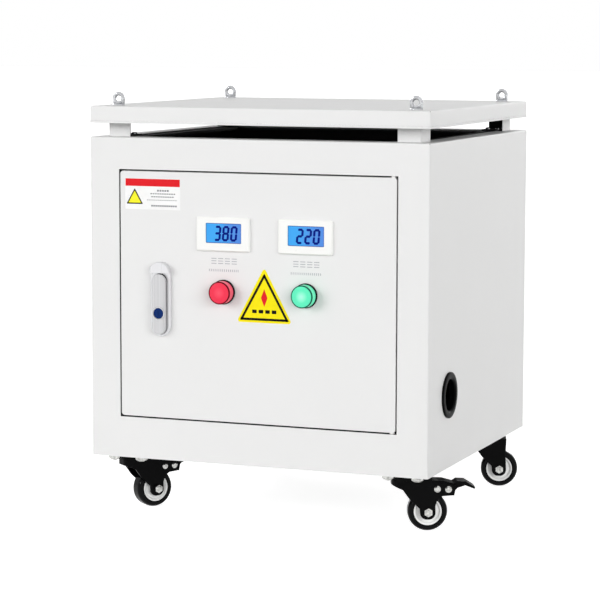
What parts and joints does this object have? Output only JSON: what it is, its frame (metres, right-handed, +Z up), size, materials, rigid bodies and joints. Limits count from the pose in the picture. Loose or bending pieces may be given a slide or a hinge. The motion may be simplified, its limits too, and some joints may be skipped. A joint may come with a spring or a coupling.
{
  "type": "dry isolation transformer in a wheeled cabinet",
  "caption": "White sheet-metal cabinet on swivel casters with a raised lid, hinged door with meters, lamps and a folding lock, holding a dry three-phase isolation transformer.",
  "frame": {"origin": "on the floor under the middle of the cabinet", "axes": "+Z up, +Y from the door towards the rear panel, +X to the right of someone facing the door"},
  "size_m": [0.4958, 0.436, 0.5445],
  "materials": {
    "white_enamel": "smooth white powder coat, slight orange peel",
    "zinc_plate": "bright zinc plated steel",
    "bright_chrome": "polished chrome plate",
    "satin_chrome": "satin chrome plated die casting",
    "black_rubber": "soft black rubber",
    "black_plastic": "moulded black plastic",
    "white_plastic": "moulded white plastic",
    "display_blue": "lit blue display window",
    "red_lens": "clear red lens",
    "green_lens": "clear green lens",
    "blue_plastic": "glossy blue button",
    "black_enamel": "black powder coated pressing",
    "black_tyre": "glossy black polyurethane",
    "hub_plastic": "moulded pale grey plastic",
    "core_steel": "varnished silicon steel laminations",
    "coil_wrap": "varnished insulation wrap",
    "coil_board": "pressed insulation board",
    "terminal_board": "brown phenolic laminate",
    "brass_terminal": "plain brass"
  },
  "bodies": {
    "cabinet": {"cabinet_shell": "white_enamel", "rear_panel": "white_enamel", "floor_pan": "white_enamel", "lid": "white_enamel", "lid_posts": "white_enamel", "lifting_eyes": "bright_chrome", "cable_grommet_right": "black_rubber", "cable_grommet_left": "black_rubber", "hinge_pins": "zinc_plate", "caster_plates": "black_enamel", "caster_bolts": "zinc_plate", "core_stack": "core_steel", "lv_coils": "coil_board", "hv_coil_left": "coil_wrap", "hv_coil_middle": "coil_wrap", "hv_coil_right": "coil_wrap", "upper_clamps": "zinc_plate", "lower_clamps": "zinc_plate", "core_bolts": "zinc_plate", "terminal_board": "terminal_board", "board_brackets": "zinc_plate", "terminal_blocks": "black_plastic", "terminal_studs": "brass_terminal"},
    "door": {"door_panel": "white_enamel", "door_gasket": "black_rubber", "hinge_bushes": "black_plastic", "meter_displays": "display_blue", "door_nuts": "black_plastic", "lock_base": "satin_chrome", "input_voltmeter": "white_plastic", "output_voltmeter": "white_plastic", "red_lamp_base": "black_plastic", "green_lamp_base": "black_plastic", "red_lamp_lens": "red_lens", "green_lamp_lens": "green_lens"},
    "lock_turn": {"lock_spindle": "satin_chrome", "lock_cam": "zinc_plate", "lock_pin": "satin_chrome"},
    "lock_grip": {"lock_handle": "satin_chrome"},
    "lock_press": {"lock_button": "blue_plastic"},
    "swivel_front_left": {"caster_fork_front_left": "black_enamel", "wheel_axle_front_left": "zinc_plate"},
    "wheel_front_left": {"wheel_hub_front_left": "hub_plastic", "tyre_front_left": "black_tyre"},
    "brake_left": {"brake_pedal_left": "black_enamel"},
    "swivel_front_right": {"caster_fork_front_right": "black_enamel", "wheel_axle_front_right": "zinc_plate"},
    "wheel_front_right": {"wheel_hub_front_right": "hub_plastic", "tyre_front_right": "black_tyre"},
    "brake_right": {"brake_pedal_right": "black_enamel"},
    "swivel_rear_left": {"caster_fork_rear_left": "black_enamel", "wheel_axle_rear_left": "zinc_plate"},
    "wheel_rear_left": {"wheel_hub_rear_left": "hub_plastic", "tyre_rear_left": "black_tyre"},
    "swivel_rear_right": {"caster_fork_rear_right": "black_enamel", "wheel_axle_rear_right": "zinc_plate"},
    "wheel_rear_right": {"wheel_hub_rear_right": "hub_plastic", "tyre_rear_right": "black_tyre"}
  },
  "joints": [
    {"name": "door_hinge", "type": "hinge", "parent": "cabinet", "child": "door", "pos_m": [0.18, -0.206, 0.287], "axis": [0, 0, 1], "range_deg": [0, 110]},
    {"name": "lock_spindle_turn", "type": "hinge", "parent": "door", "child": "lock_turn", "pos_m": [-0.1285, -0.205, 0.306], "axis": [0, 1, 0], "range_deg": [0, 90]},
    {"name": "lock_handle_lift", "type": "hinge", "parent": "lock_turn", "child": "lock_grip", "pos_m": [-0.1285, -0.216, 0.306], "axis": [-1, 0, 0], "range_deg": [0, 25]},
    {"name": "lock_button_press", "type": "slide", "parent": "lock_grip", "child": "lock_press", "axis": [0, 1, 0], "range_m": [0, 0.0025], "stiffness_N_per_m": 400},
    {"name": "swivel_front_left", "type": "hinge", "parent": "cabinet", "child": "swivel_front_left", "pos_m": [-0.1875, -0.157, 0.066], "axis": [0, 0, 1], "continuous": true},
    {"name": "roll_front_left", "type": "hinge", "parent": "swivel_front_left", "child": "wheel_front_left", "pos_m": [-0.17516, -0.14001, 0.025], "axis": [-0.809, 0.5878, 0], "continuous": true},
    {"name": "brake_press_left", "type": "hinge", "parent": "swivel_front_left", "child": "brake_left", "pos_m": [-0.16846, -0.13079, 0.054], "axis": [-0.809, 0.5878, 0], "range_deg": [0, 12]},
    {"name": "swivel_front_right", "type": "hinge", "parent": "cabinet", "child": "swivel_front_right", "pos_m": [0.1875, -0.157, 0.066], "axis": [0, 0, 1], "continuous": true},
    {"name": "roll_front_right", "type": "hinge", "parent": "swivel_front_right", "child": "wheel_front_right", "pos_m": [0.20661, -0.14829, 0.025], "axis": [-0.4147, 0.91, 0], "continuous": true},
    {"name": "brake_press_right", "type": "hinge", "parent": "swivel_front_right", "child": "brake_right", "pos_m": [0.21698, -0.14356, 0.054], "axis": [-0.4147, 0.91, 0], "range_deg": [0, 12]},
    {"name": "swivel_rear_left", "type": "hinge", "parent": "cabinet", "child": "swivel_rear_left", "pos_m": [-0.1875, 0.157, 0.066], "axis": [0, 0, 1], "continuous": true},
    {"name": "roll_rear_left", "type": "hinge", "parent": "swivel_rear_left", "child": "wheel_rear_left", "pos_m": [-0.1703, 0.16905, 0.025], "axis": [-0.5736, 0.8192, 0], "continuous": true},
    {"name": "swivel_rear_right", "type": "hinge", "parent": "cabinet", "child": "swivel_rear_right", "pos_m": [0.1875, 0.157, 0.066], "axis": [0, 0, 1], "continuous": true},
    {"name": "roll_rear_right", "type": "hinge", "parent": "swivel_rear_right", "child": "wheel_rear_right", "pos_m": [0.20741, 0.16366, 0.025], "axis": [-0.3173, 0.9483, 0], "continuous": true}
  ]
}
